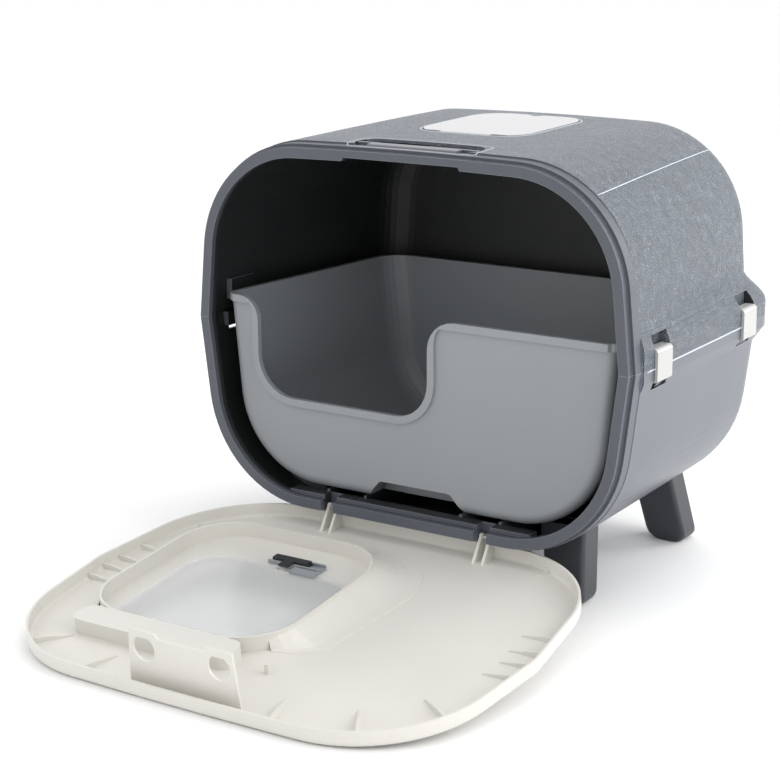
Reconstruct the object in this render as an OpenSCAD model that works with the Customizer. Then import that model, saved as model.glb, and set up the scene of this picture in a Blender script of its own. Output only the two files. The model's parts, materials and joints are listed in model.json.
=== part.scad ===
// Hooded cat litter box: hood and base shells, pull-out tray, drop-down front door with a clear
// swing flap, side clips, splayed legs, carry handle and roof filter.
// X is to the right, Y to the back and Z up. The door is drawn open, lying on the floor.

/* [Shell] */
// Width across the front frame at the parting line
front_w = 530; // [520:1:540]
// Height of the roof above the floor at the front
roof_z = 465; // [455:1:480]
// Height of the parting line between hood and base
part_z = 266; // [262:1:270]
// Height of the underside of the base above the floor
floor_gap = 65; // [60:1:70]
// Depth from the lip to the back wall
shell_d = 346; // [340:1:380]
// Wall of the hood and base
wall = 3; // [2.5:0.1:3.5]
// Radius of the front outline at its upper corners
top_r = 128; // [110:1:135]
// Radius of the front outline at its lower corners
low_r = 130; // [115:1:135]
// Inward lean of the upper sides at the front, in mm per mm of height
lean_up = 0.097; // [0.08:0.001:0.11]
// Inward lean of the upper sides at the back, in mm per mm of height
lean_back = 0.07; // [0.05:0.001:0.1]
// Inward lean of the lower sides, in mm per mm of height
lean_low = 0.124; // [0.11:0.001:0.14]
// How much lower the roof is at its shoulders than in the middle
roof_crown = 4; // [3:0.5:5]
// How much narrower each side of the hood is at the back
hood_taper = 24; // [18:1:26]
// How much narrower each side of the base is at the back
base_taper = 10; // [6:1:12]
// Rise of the roof toward the back
roof_rise = 6; // [3:0.5:8]
// Radius of the back edges of the shells
back_r = 36; // [30:1:40]

/* [Front frame and lip] */
// Depth of the lip in front of the frame
lip_d = 9; // [8.8:0.1:9.5]
// Step from the frame in to the outside of the lip
lip_step = 3.3; // [3.3:0.1:4]
// Thickness of the lip
lip_t = 11; // [10:0.5:11]
// Depth of the smooth frame behind the lip
frame_d = 14; // [13:0.5:16]
// How far the grained surface stands proud of the frame
grain_step = 1.2; // [0.8:0.1:1.4]
// Width of the thinned notch at the top of the lip
lip_notch_w = 146; // [140:1:150]
// Depth of that notch
lip_notch_t = 3.2; // [3.2:0.1:4]

/* [Parting flange] */
// How far the flange stands beyond the frame on each side
flange_side = 1.5; // [1.5:0.5:3]
// How much narrower each side of the flange is at the back
flange_taper = 4.5; // [3:0.5:6]
// How far the flange stands out behind the back wall
flange_out = 14; // [12:0.5:16]
// Radius of the flange at the back corners, in plan
flange_r = 40; // [36:1:44]
// Height of the flat face of the hood flange
flange_up = 15; // [14:0.5:17]
// Height of the curve over the hood flange
fillet_up = 36; // [30:1:38]
// Height of the flat face of the base flange
flange_down = 12; // [11:0.5:13]
// Height of the slope under the base flange
slope_down = 18; // [16:1:20]

/* [Door] */
// Clearance between the door skirt and the lip
door_gap = 0.8; // [0.6:0.1:0.8]
// Depth of the door skirt from its edge to the outer face
door_d = 17; // [16:0.5:18]
// Radius of the outer edge of the door
door_edge_r = 6; // [5:0.5:7]
// Distance of the hinge axis behind the front of the lip
hinge_y = 15.5; // [15:0.5:16]
// Height of the hinge axis above the underside of the base
hinge_up = 4.5; // [4.3:0.1:4.7]
// Radius of the hinge pins
hinge_pin_r = 2; // [1.6:0.1:2.2]
// Radius of the eye of a hinge lug
lug_eye_r = 4.2; // [4:0.1:4.4]
// Running clearance of the pins in their bores
pin_gap = 0.08; // [0.05:0.01:0.1]
// Distance of each pair of hinge lugs from the middle
lug_x = 96; // [88:1:104]
// Distance between the two lugs of a pair, centre to centre
lug_pitch = 11; // [10:0.5:13]
// Thickness of a hinge lug
lug_t = 3.2; // [2.6:0.1:4]
// Clearance under the open door
rest_gap = 0.6; // [0.3:0.1:1]
// Reach of the latch tongue behind the front of the lip
tongue_in = 55; // [50:0.5:55]
// Width of the latch tongue
tongue_w = 126; // [110:1:130]
// Length of the gussets inside the skirt
gusset_l = 30; // [24:1:34]
// Height of the gussets over the inner face
gusset_h = 5.4; // [4:0.1:5.4]

/* [Entry and flap] */
// Distance of the entry from the left edge of the door at the parting line
entry_side = 53; // [51:1:55]
// Width inside the entry rim
entry_w = 232; // [226:1:234]
// Height of the lower inner edge of the entry rim above the floor
entry_low_z = 132; // [128:1:140]
// Height inside the entry rim
entry_h = 227; // [220:1:230]
// Corner radius inside the entry rim
entry_r = 60; // [50:1:66]
// How far the entry rim reaches in behind the front of the lip
rim_in = 10; // [8:0.5:11]
// Height of the grip housing over the entry
housing_h = 33; // [28:1:36]
// Width of the grip housing
housing_w = 196; // [170:1:200]
// Spread of the slope beside the entry rim
surround = 54; // [40:1:58]
// Frame left of the flap window, inside the entry rim
window_left = 32; // [30:1:36]
// Frame right of the flap window
window_right = 6; // [6:0.5:10]
// Frame under the flap window
window_under = 57; // [57:1:62]
// Frame over the flap window
window_over = 15; // [15:0.5:18]
// Corner radius of the flap window at the bottom
window_r = 38; // [30:1:42]
// Corner radius of the flap window at its upper right
window_top_r = 60; // [58:1:66]
// How far the flap overlaps the window edge
flap_lap = 4; // [3:0.5:4]
// Thickness of the clear flap
flap_t = 2; // [1.6:0.1:2.4]
// Gap between the resting flap and the door
flap_gap = 1; // [0.6:0.1:1.2]
// Radius of the flap axle
axle_r = 1.8; // [1.4:0.1:2]
// Radius of the flap knuckles
knuckle_r = 3.3; // [3:0.1:3.4]
// Travel of the flap lock
lock_travel = 10; // [8:1:11]

/* [Tray] */
// Clearance between the tray floor and the runners
tray_gap = 0.3; // [0.2:0.1:0.5]
// Height of the tray floor above the underside of the base
tray_up = 22; // [21.5:0.5:24]
// Height of the tray rim above the parting line
tray_rim_up = 25; // [22:1:26]
// Space between the shell and the tray at the front
tray_inset = 26; // [25:1:30]
// Further narrowing of each side of the tray at the back
tray_taper = 30; // [24:1:34]
// Wall of the tray
tray_wall = 3; // [2.5:0.1:3.5]
// Distance of the front of the tray behind the lip
tray_front = 20; // [20:0.5:24]
// Room kept between the back of the tray and the back of the shell
tray_room = 36; // [34:1:46]
// Radius of the upright front edges of the tray
tray_front_r = 12; // [8:1:16]
// Radius of the upright back edges of the tray
tray_back_r = 30; // [24:1:36]
// Height of the rim band of the tray
rim_h = 8; // [6:0.5:9]
// How far the rim band stands out
rim_out = 3; // [2:0.5:3]
// Distance of the scoop from the left side of the tray at the parting line
scoop_side = 43; // [40:1:46]
// Width of the scoop in the tray front
scoop_w = 218; // [214:1:234]
// Height of the low edge of the scoop above the floor
scoop_z = 183; // [170:1:183]
// Middle of the finger notch under the tray front
finger_x = 4; // [0:1:8]
// Width of the finger notch at its foot
finger_w = 124; // [116:1:128]
// Height of the finger notch
finger_h = 20; // [18:1:22]
// Depth of the finger notch
finger_d = 34; // [28:1:38]
// Distance of the inner pair of runners from the middle
runner_in = 60; // [54:1:66]
// Distance of the outer pair of runners from the middle
runner_out = 108; // [100:1:112]

/* [Clips] */
// Distance of the front clips behind the lip
clip_front_y = 64; // [58:1:80]
// Distance of the rear clips behind the lip
clip_back_y = 278; // [260:1:285]
// Width of a clip
clip_w = 33; // [28:1:36]
// Thickness of a clip
clip_t = 3; // [2.5:0.1:3.5]
// Space between a clip and the flange
clip_gap = 0.5; // [0.4:0.1:0.7]
// Height of the clip pivot below the parting line
clip_drop = 14; // [13:0.5:15]
// Distance of the clip pivot in from the flange
clip_in = 4; // [3.5:0.1:4.5]
// Radius of a clip pin
clip_pin_r = 1.4; // [1.2:0.1:1.5]

/* [Legs] */
// Width of a leg at the floor
leg_w = 48; // [44:1:52]
// Depth of a leg at the floor
leg_d = 34; // [30:1:38]
// Distance of the outer side of the legs from the middle, at the floor
leg_x = 194; // [188:1:198]
// Distance of the front legs behind the lip, at the floor
leg_front_y = 61; // [58:1:66]
// Distance of the rear legs behind the lip, at the floor
leg_back_y = 308; // [300:1:310]
// How far a leg leans in toward its top, sideways
leg_lean_x = 9; // [6:1:12]
// How far a leg leans in toward its top, front to back
leg_lean_y = 17; // [14:1:20]
// How much wider a leg is at its top
leg_flare = 1; // [0:0.5:3]
// Wall of a leg
leg_wall = 4; // [3:0.5:5]
// Radius of the two lower corners of a leg
foot_r = 14; // [10:1:16]

/* [Carry handle] */
// Length of the handle recess
recess_w = 150; // [144:1:154]
// Depth of the handle recess from front to back
recess_l = 40; // [38:1:42]
// How deep the handle recess is sunk in the roof
recess_deep = 9; // [8.5:0.1:9]
// Distance of the front of the recess behind the lip
recess_y = 18; // [18:0.5:20]
// Width of the grip bar
grip_w = 20; // [18:1:22]
// Thickness of the grip bar
grip_t = 10; // [9:0.1:10]
// Radius of the handle pins
grip_pin_r = 2; // [1.5:0.1:2.2]

/* [Roof filter] */
// Width of the filter cover
cover_w = 130; // [126:1:136]
// Length of the filter cover from front to back
cover_l = 158; // [150:1:162]
// Distance of the front of the cover behind the lip
cover_y = 126; // [124:1:130]
// Corner radius of the cover
cover_r = 32; // [28:1:34]
// Thickness of the cover
cover_t = 4; // [4:0.1:4.6]
// Radius of the cover pin
cover_pin_r = 1.1; // [0.9:0.1:1.2]
// Thickness of the filter pad
pad_t = 10; // [8:0.5:12]
// Width of a vent slot
vent_w = 7; // [5:0.5:8]
// Number of vent slots
vents = 7; // [5:1:8]

/* [Hidden] */
tray_back = shell_d - tray_room;
$fn = 48;

// Colours of the real materials
shell_colour = [0.38, 0.41, 0.47];
dark_colour = [0.17, 0.18, 0.22];
tray_colour = [0.60, 0.63, 0.66];
door_colour = [0.88, 0.87, 0.84];
clip_colour = [0.90, 0.90, 0.88];
steel_colour = [0.70, 0.71, 0.72];
clear_colour = [0.86, 0.89, 0.90];
pad_colour = [0.10, 0.10, 0.11];

// Fits and small walls shared by several pieces
seat_wall = 2.5; // walls of liners, ribs and seats
cut = 1; // how far a cutting shape reaches past the face it cuts
room = 0.6; // space beside a moving part
lap = 0.5; // how far joined shapes run into each other

// Levels and places that follow from the sizes above
hinge_z = floor_gap + hinge_up;
grain_y = lip_d + frame_d;
web_d = 3;
frame_t = wall + lap;
lip_in = lip_step + lip_t;
door_wall = lip_step - door_gap;
skirt_y = lip_d - 0.4;
face_y = skirt_y - door_d;
skin_y = face_y + door_wall;
flange_y = grain_y + cut;
back_y = shell_d + flange_out;
tray_z = floor_gap + tray_up;
rim_z = part_z + tray_rim_up;
sill_z = floor_gap + 19;
sill_x = front_w / 2 - low_r + 15;
foot_z = floor_gap - grain_step;
flange_front_x = front_w / 2 + flange_side;
flange_back_x = flange_front_x - flange_taper;
scoop_left = tray_inset + scoop_side - front_w / 2;
scoop_right = scoop_left + scoop_w;
entry_x = entry_side + entry_w / 2 - front_w / 2;
window_low_z = entry_low_z + window_under;
window_top_z = entry_low_z + entry_h - window_over;
window_x0 = entry_x - entry_w / 2 + window_left;
window_x1 = entry_x + entry_w / 2 - window_right;

// Opening angle at which the far edge of the door comes to rest just over the floor
door_arm = [face_y + door_edge_r - hinge_y, roof_z - door_edge_r - hinge_z];
open_angle = atan2(door_arm.x, door_arm.y) + acos((rest_gap + door_edge_r - hinge_z) / norm(door_arm));
front_y = hinge_y + (skirt_y - hinge_y) * cos(open_angle) - (roof_z - hinge_z) * sin(open_angle);
mid_y = (front_y + back_y) / 2;

// Small vector helpers, and an arc that rounds the corner b of the path a, b, c
function unit(v) = v / norm(v);
function turn(a) = (a + 540) % 360 - 180;
function mix(a, b, t) = a + (b - a) * t;
function corner(a, b, c, r, n) =
    let (u = unit(a - b), w = unit(c - b), h = acos(u * w) / 2)
    let (o = b + unit(u + w) * (r / sin(h)), s = b + u * (r / tan(h)), e = b + w * (r / tan(h)))
    let (a0 = atan2(s.y - o.y, s.x - o.x), a1 = atan2(e.y - o.y, e.x - o.x))
    [for (i = [0:n]) let (g = a0 + turn(a1 - a0) * i / n) o + r * [cos(g), sin(g)]];
function mirrored(p) = [for (i = [len(p) - 1:-1:0]) [-p[i].x, p[i].y]];
function ring(p, y) = [for (q = p) [q.x, y, q.y]];

// Outline of the hood at depth y, inset by d, from the right parting point over to the left
function up_path(y, d) =
    let (t = y / shell_d, half = front_w / 2 - hood_taper * t - d)
    let (top = roof_z + roof_rise * sin(90 * min(t, 1)) - d - roof_crown, rise = 1.3 * roof_crown)
    let (m = [half, part_z], s = [half - mix(lean_up, lean_back, t) * (top - part_z), top])
    let (c = [0, top + rise], right = concat([m], corner(m, s, c, top_r - 12 * t - d, 18)))
    concat(right, corner(s, c, [-s.x, s.y], 0.45 * s.x * s.x / rise, 6), mirrored(right));

// Outline of the base at depth y, inset by d, from the left parting point under to the right
function base_path(y, d) =
    let (m = [front_w / 2 - base_taper * y / shell_d - d, part_z], z = floor_gap + d)
    let (s = [m.x - lean_low * (part_z - z), z])
    let (right = concat([m], corner(m, s, [0, z], low_r - d, 16)))
    concat([for (q = right) [-q.x, q.y]], [for (i = [len(right) - 1:-1:0]) right[i]]);

// Whole outline of the front, inset by d
function front_path(d) =
    let (low = base_path(0, d))
    concat(up_path(0, d), [for (i = [1:len(low) - 2]) low[i]]);

// Outline of the tray at depth y, inset by d, from the left rim under to the right rim
function tray_path(y, d) =
    let (half = front_w / 2 - tray_inset - tray_taper * (y - tray_front) / shell_d - d, z = tray_z + d)
    let (m = [half, part_z], s = [half - lean_low * (part_z - z), z])
    let (right = concat([[half, rim_z]], corner(m, s, [0, z], low_r - tray_inset - d, 14)))
    concat([for (q = right) [-q.x, q.y]], [for (i = [len(right) - 1:-1:0]) right[i]]);

// Depth and inset of the rings that round the back edge of a shell by radius r
function back_steps(y1, r, n) = [for (i = [0:n]) let (a = 90 * i / n) [y1 - r + r * sin(a), r * (1 - cos(a))]];
function straight(y0, y1, n) = [for (i = [0:n - 1]) [mix(y0, y1, i / n), 0]];

// Plan path of the parting flange, inset by d, from the right front around the back to the left
function flange_path(d) =
    let (c = [0, back_y - d], b = [flange_back_x - d, back_y - d])
    let (right = concat([[flange_front_x - d, flange_y]], corner([flange_front_x - d, flange_y], b, c, flange_r - d, 10)))
    concat(right, mirrored(right));
function wall_path(taper) =
    let (x = front_w / 2 - lap, y = shell_d - wall / 2, a = [x - taper * flange_y / shell_d, flange_y])
    let (b = [x - taper, y], right = concat([a], corner(a, b, [0, y], back_r - wall / 2, 10)))
    concat(right, mirrored(right));
function leaned(p, lean, h) = [p.x - sign(p.x) * lean * h, p.y];
function up3(p, z) = [p.x, p.y, z];

// Flange half width at depth y
function flange_at(y) = mix(flange_front_x, flange_back_x, (y - flange_y) / (back_y - flange_y));
function roof_at(y) = roof_z + roof_rise * sin(90 * min(y / shell_d, 1)) + grain_step;

// Shell between two sets of open rings, closed at the back
module shell(outer, inner, closed_front = false) {
    m = len(outer) - 1;
    n = len(outer[0]) - 1;
    row = n + 1;
    k = (m + 1) * row;
    front = closed_front
        ? [[for (j = [n:-1:0]) j], [for (j = [0:n]) k + j], [0, k, k + n, n]]
        : [for (j = [0:n - 1]) [j, k + j, k + j + 1, j + 1]];
    polyhedron(
        points = concat([for (r = outer, p = r) p], [for (r = inner, p = r) p]),
        faces = concat(
            [for (i = [0:m - 1], j = [0:n - 1]) let (a = i * row + j) [a, a + 1, a + row + 1, a + row]],
            [for (i = [0:m - 1], j = [0:n - 1]) let (a = k + i * row + j) [a, a + row, a + row + 1, a + 1]],
            [for (i = [0:m - 1]) let (a = i * row) [a, a + row, k + a + row, k + a]],
            [for (i = [0:m - 1]) let (a = i * row + n) [k + a, k + a + row, a + row, a]],
            [[for (j = [0:n]) m * row + j]],
            [[for (j = [n:-1:0]) k + m * row + j]],
            [[m * row, m * row + n, k + m * row + n, k + m * row]],
            front
        )
    );
}

// Dish between two sets of closed rings, from its face to its open edge
module dish(outer, inner) {
    m = len(outer) - 1;
    n = len(outer[0]);
    k = (m + 1) * n;
    polyhedron(
        points = concat([for (r = outer, p = r) p], [for (r = inner, p = r) p]),
        faces = concat(
            [for (i = [0:m - 1], j = [0:n - 1]) let (a = i * n, b = (j + 1) % n) [a + j, a + b, a + n + b, a + n + j]],
            [for (i = [0:m - 1], j = [0:n - 1]) let (a = k + i * n, b = (j + 1) % n) [a + j, a + n + j, a + n + b, a + b]],
            [for (j = [0:n - 1]) let (a = m * n, b = (j + 1) % n) [a + j, a + b, k + a + b, k + a + j]],
            [[for (j = [n - 1:-1:0]) j], [for (j = [0:n - 1]) k + j]]
        )
    );
}

// Solid swept through profiles of k points, turning to the left as seen along the path. The ends of a
// thin curved profile are closed like a ladder, each rung from a point to the one across from it.
module sweep(s, ladder = false) {
    k = len(s[0]);
    n = len(s) - 1;
    rungs = [for (j = [0:k / 2 - 2]) [j, j + 1, k - 2 - j, k - 1 - j]];
    first = ladder ? [for (r = rungs) [r[3], r[2], r[1], r[0]]] : [[for (j = [k:-1:1]) j % k]];
    last = ladder ? [for (r = rungs) [for (j = r) n * k + j]] : [[for (j = [0:k - 1]) n * k + j]];
    polyhedron(
        points = [for (p = s, q = p) q],
        faces = concat(
            [for (i = [0:n - 1], j = [0:k - 1]) let (a = i * k, b = (j + 1) % k) [a + j, a + b, a + k + b, a + k + j]],
            first, last
        )
    );
}

// Places for the whole part, the opened door, upright plates and things on the roof
module placed() translate([0, -mid_y, 0]) children();
module opened() placed()
    translate([0, hinge_y, hinge_z]) rotate([open_angle, 0, 0]) translate([0, -hinge_y, -hinge_z]) children();
module slab(y0, y1) translate([0, y1, 0]) rotate([90, 0, 0]) linear_extrude(y1 - y0) children();
module rod_x(x0, x1, y, z, r) translate([x0, y, z]) rotate([0, 90, 0]) cylinder(r = r, h = x1 - x0);
module rod_y(x, y0, y1, z, r) translate([x, y1, z]) rotate([90, 0, 0]) cylinder(r = r, h = y1 - y0);
module both_sides() {
    children();
    mirror([1, 0, 0]) children();
}
module box(x0, x1, y0, y1, z0, z1) translate([x0, y0, z0]) cube([x1 - x0, y1 - y0, z1 - z0]);
module round_rect(x, y, r) {
    square([x - 2 * r, y], center = true);
    square([x, y - 2 * r], center = true);
    for (i = [-1, 1], j = [-1, 1]) translate([i * (x / 2 - r), j * (y / 2 - r)]) circle(r);
}
module stadium(inset) translate([0, recess_y + recess_l / 2])
    round_rect(recess_w - 2 * inset, recess_l - 2 * inset, recess_l / 2 - inset - 0.01);

// Upper and lower halves of a front ring between the insets d0 and d1
module up_ring(d0, d1) difference() {
    polygon(up_path(0, d0));
    x = front_w / 2 - d1;
    polygon(concat([[x, part_z - cut]], up_path(0, d1), [[-x, part_z - cut]]));
}
module low_ring(d0, d1) difference() {
    polygon(base_path(0, d0));
    x = front_w / 2 - d1;
    polygon(concat([[-x, part_z + cut]], base_path(0, d1), [[x, part_z + cut]]));
}

// Hood
hood_steps = concat(straight(grain_y, shell_d - back_r, 5), back_steps(shell_d, back_r, 7));
hood_inner = concat(straight(grain_y, shell_d - back_r, 5), back_steps(shell_d - wall, back_r - wall, 7));
module hood_shell() shell(
    [for (s = hood_steps) ring(up_path(s[0], s[1] - grain_step), s[0])],
    [for (s = hood_inner) ring(up_path(s[0], s[1] + wall - grain_step), s[0])]
);
module hood_flange() {
    out = flange_path(0);
    in = wall_path(hood_taper);
    z1 = part_z + flange_up;
    function lean_at(y) = mix(lean_up, lean_back, min(y / shell_d, 1));
    sweep([for (i = [0:len(out) - 1])
        let (p = out[i], q = in[i], h = flange_up + fillet_up)
        concat([up3(q, part_z), up3(p, part_z)],
            [for (t = [0:1 / 7:1.01]) up3(mix(p, leaned(q, lean_at(q.y), h), (1 - cos(180 * t)) / 2), z1 + fillet_up * t)])]);
}
clips = [clip_front_y, clip_back_y];
pocket_w = clip_w / 2 + 2;
pocket_h = 17;
hook_in = 10;
module clip_pockets() both_sides() for (y = clips)
    box(flange_at(y) - hook_in - 3, flange_at(y) + 9, y - pocket_w, y + pocket_w,
        part_z + flange_up, part_z + flange_up + pocket_h);
// Walls that close a pocket where it cuts through the shell
module pocket_walls() both_sides() for (y = clips) {
    x0 = flange_at(y) - hook_in - 3 - seat_wall;
    z1 = part_z + flange_up + pocket_h + seat_wall;
    x1 = front_w / 2 - hood_taper * y / shell_d - lean_up * (z1 - part_z) + grain_step - lap;
    if (x0 < x1)
        box(x0, x1, y - pocket_w - seat_wall, y + pocket_w + seat_wall, part_z + flange_up - seat_wall, z1);
}
module flange_hollow() {
    in = [for (p = flange_path(wall)) p];
    w = wall_path(hood_taper);
    y0 = shell_d * 0.4;
    translate([0, 0, part_z - cut]) linear_extrude(cut + flange_up - wall) difference() {
        intersection() {
            polygon(in);
            translate([-front_w, y0]) square([2 * front_w, front_w]);
        }
        polygon([for (p = w) [p.x + sign(p.x) * wall, p.y + (p.y > y0 ? wall : 0)]]);
    }
}
tub_z = roof_z - recess_deep;
grip_y = recess_y + 2 + grip_t / 2;
grip_z = tub_z + lap + grip_t / 2;
ear_x = recess_w / 2 - 21;
module tub() translate([0, 0, tub_z - seat_wall])
    linear_extrude(roof_z - wall + cut - tub_z + seat_wall) stadium(-seat_wall);
module tub_cut() translate([0, 0, tub_z]) linear_extrude(recess_deep + roof_rise) stadium(0);
module grip_ears() both_sides() intersection() {
    box(ear_x + room, recess_w / 2 - 8, recess_y, grip_y + 3.5, tub_z - lap, grip_z + grip_pin_r + 1);
    translate([0, 0, tub_z - cut]) linear_extrude(recess_deep) stadium(-lap);
}

// Roof filter, drawn in a frame that lies on the sloping roof
roof_tilt = atan((roof_at(cover_y + cover_l) - roof_at(cover_y)) / cover_l);
module on_roof() translate([0, cover_y, roof_at(cover_y)]) rotate([roof_tilt, 0, 0]) children();
cover_up = 0.6;
seat_in = 8;
well_d = 22;
well_x = cover_w - 2 * seat_in;
well_y = cover_l - 2 * seat_in;
well_r = cover_r - seat_in;
pin_y = cover_t / 2;
pin_z = cover_up - cover_t / 2;
knuckle_x = cover_w / 2 - cover_r - 2;
module cover_plan(grow, x = cover_w, y = cover_l, r = cover_r)
    translate([0, cover_l / 2]) round_rect(x + 2 * grow, y + 2 * grow, r + grow);
module lift(z0, z1) translate([0, 0, z0]) linear_extrude(z1 - z0) children();
module filter_well() on_roof() {
    lift(cover_up - cover_t - seat_wall, -wall + cut) cover_plan(0.8 + seat_wall);
    lift(-well_d - seat_wall, cover_up - cover_t) cover_plan(seat_wall, well_x, well_y, well_r);
}
module filter_well_cut() on_roof() {
    lift(cover_up - cover_t, wall * 3) cover_plan(0.8);
    lift(-well_d, cover_up - cover_t + cut) cover_plan(0, well_x, well_y, well_r);
    for (i = [0:vents - 1])
        translate([0, cover_l / 2 + (i - (vents - 1) / 2) * (well_y - 20) / vents, -well_d - seat_wall - cut])
            linear_extrude(seat_wall + 2 * cut) round_rect(well_x - 30, vent_w, vent_w / 2 - 0.01);
}
module cover_ears() on_roof() both_sides()
    box(knuckle_x + room, knuckle_x + room + 4, -0.8 - lap, pin_y + 2.4, cover_up - cover_t - lap, cover_up - 0.8);
module on_roof_pin(r) on_roof() rod_x(-knuckle_x - 4, knuckle_x + 4, pin_y, pin_z, r);
module grip_pin(r) both_sides() rod_x(ear_x - 8, ear_x + 7, grip_y, grip_z, r);

module hood() color(shell_colour) placed() difference() {
    union() {
        difference() {
            union() {
                slab(0, lip_d + web_d) up_ring(lip_step, lip_in);
                slab(lip_d, lip_d + web_d) up_ring(0, lip_in);
                slab(lip_d, grain_y + web_d) up_ring(0, frame_t);
                hood_shell();
                hood_flange();
                pocket_walls();
                tub();
                filter_well();
            }
            clip_pockets();
            flange_hollow();
            tub_cut();
            filter_well_cut();
            slab(-cut, lip_d + web_d + cut) polygon([
                [-lip_notch_w / 2, roof_z - lip_in - 4], [lip_notch_w / 2, roof_z - lip_in - 4],
                [lip_notch_w / 2 - 4, roof_z - lip_in + lip_notch_t],
                [-lip_notch_w / 2 + 4, roof_z - lip_in + lip_notch_t]
            ]);
        }
        grip_ears();
        cover_ears();
    }
    grip_pin(grip_pin_r);
    on_roof_pin(cover_pin_r);
}

// Base
module base_shell() shell(
    [for (s = hood_steps) ring(base_path(s[0], s[1] - grain_step), s[0])],
    [for (s = hood_inner) ring(base_path(s[0], s[1] + wall - grain_step), s[0])]
);
module base_flange() {
    out = flange_path(0);
    in = wall_path(base_taper);
    sweep([for (i = [0:len(out) - 1]) [
        up3(in[i], part_z), up3(leaned(in[i], lean_low, slope_down + flange_down), part_z - flange_down - slope_down),
        up3(out[i], part_z - flange_down), up3(out[i], part_z)
    ]]);
}
clip_z = part_z - clip_drop;
clip_eye_r = 2.8;
function clip_x(y) = flange_at(y) - clip_in;
module clip_seats() both_sides() for (y = clips)
    box(clip_x(y) - 7, clip_x(y), y - clip_w / 2 - 7, y + clip_w / 2 + 7, clip_z - 4, part_z - 3);
module clip_notches() both_sides() for (y = clips)
    box(clip_x(y) - clip_eye_r - room, flange_at(y) + 9, y - clip_w / 2 - room, y + clip_w / 2 + room,
        clip_z - 9, clip_z + clip_eye_r + room);
module clip_bores(r) both_sides() for (y = clips)
    rod_y(clip_x(y), y - clip_w / 2 - 5, y + clip_w / 2 + 5, clip_z, r);
notch_w = lug_pitch + lug_t + 2;
barrel_r = 6.3;
barrel_w = 9;
module hinge_places() both_sides() translate([lug_x, 0, 0]) children();
leg_spots = [
    [leg_x - leg_w / 2, leg_front_y, leg_lean_y], [leg_x - leg_w / 2, leg_back_y, -leg_lean_y]
];
tenon = [24, 8];
module at_leg_tops() both_sides() for (s = leg_spots) translate([s.x - leg_lean_x, s.y + s[2], foot_z - cut])
    children();
// Solid inside the outline of the base, inset by d
module base_core(d) sweep([for (y = [grain_y - cut, shell_d - back_r]) ring(base_path(y, d), y)]);
module leg_bosses() intersection() {
    base_core(lap);
    at_leg_tops() linear_extrude(sill_z - foot_z + cut) round_rect(leg_w + 6, leg_d + 6, 5);
}
module tenon_holes() at_leg_tops() linear_extrude(sill_z - foot_z + 2 * cut)
    square(tenon + [0.4, 0.4], center = true);

module base() color(shell_colour) placed() difference() {
    union() {
        difference() {
            union() {
                slab(0, lip_d + web_d) low_ring(lip_step, lip_in);
                slab(lip_d, lip_d + web_d) low_ring(0, lip_in);
                slab(lip_d, grain_y + web_d) low_ring(0, frame_t);
                base_shell();
                base_flange();
                clip_seats();
                leg_bosses();
                difference() {
                    box(-sill_x, sill_x, lip_d, grain_y + cut, floor_gap + lap, sill_z);
                    box(24 - lug_x, lug_x - 24, lip_d + wall, grain_y + cut - wall, floor_gap - 2 * cut, sill_z - wall);
                }
                both_sides() for (x = [runner_in, runner_out]) runner(x);
            }
            difference() {
                box(-sill_x - 20, sill_x + 20, -cut, skirt_y + 15, floor_gap - 5, floor_gap + lip_step);
                rod_x(-sill_x - 21, sill_x + 21, hinge_y, hinge_z, barrel_r + lap);
            }
            clip_notches();
            tenon_holes();
        }
        hinge_places() rod_x(-notch_w / 2 - barrel_w, notch_w / 2 + barrel_w, hinge_y, hinge_z, barrel_r);
    }
    hinge_places() box(-notch_w / 2, notch_w / 2, -cut, hinge_y + 6, floor_gap - 5, floor_gap + 30);
    hinge_places() rod_x(-notch_w / 2 - 8, notch_w / 2 + 8, hinge_y, hinge_z, hinge_pin_r);
    clip_bores(clip_pin_r);
}
// Runner under the tray, cut to the height of the tray floor
module runner(x) intersection() {
    box(x - wall / 2, x + wall / 2, grain_y - cut, tray_back - 6, floor_gap + lap, tray_z - tray_gap);
    slab(grain_y - cut, tray_back - 6) polygon(base_path(0, lap));
}

module hinge_pin(side) color(steel_colour) placed() translate([side * lug_x, 0, 0])
    rod_x(-notch_w / 2 - 8, notch_w / 2 + 8, hinge_y, hinge_z, hinge_pin_r);

module hinge_pin_left() hinge_pin(-1);
module hinge_pin_right() hinge_pin(1);

// Tray
tray_steps = concat(
    [for (i = [7:-1:1]) let (a = 90 * i / 7) [tray_front + tray_front_r * (1 - sin(a)), tray_front_r * (1 - cos(a))]],
    straight(tray_front + tray_front_r, tray_back - tray_back_r, 4), back_steps(tray_back, tray_back_r, 6)
);
tray_inner = concat(
    [for (i = [7:-1:1]) let (a = 90 * i / 7, r = tray_front_r - tray_wall)
        [tray_front + tray_wall + r * (1 - sin(a)), r * (1 - cos(a))]],
    straight(tray_front + tray_front_r, tray_back - tray_back_r, 4),
    back_steps(tray_back - tray_wall, tray_back_r - tray_wall, 6)
);
module rim_plan(d, steps) {
    side = [for (s = steps) [front_w / 2 - tray_inset - tray_taper * (s[0] - tray_front) / shell_d - s[1] - d, s[0]]];
    y0 = tray_front + d;
    y1 = tray_back - d;
    pts = [for (p = side) [p.x, p.y == tray_front ? y0 : p.y == tray_back ? y1 : p.y]];
    polygon(concat(pts, mirrored(pts)));
}
function scoop_path(d) = concat(
    corner([scoop_left - 60, rim_z], [scoop_left - d, rim_z], [scoop_left - d, scoop_z - d], 25 - d, 6),
    corner([scoop_left - d, rim_z], [scoop_left - d, scoop_z - d], [0, scoop_z - d], 45 + d, 8),
    corner([0, scoop_z - d], [scoop_right + d, scoop_z - d], [scoop_right + d, rim_z], 40 + d, 8),
    corner([scoop_right + d, scoop_z - d], [scoop_right + d, rim_z], [scoop_right + 80, rim_z], 32 - d, 6)
);
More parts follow.
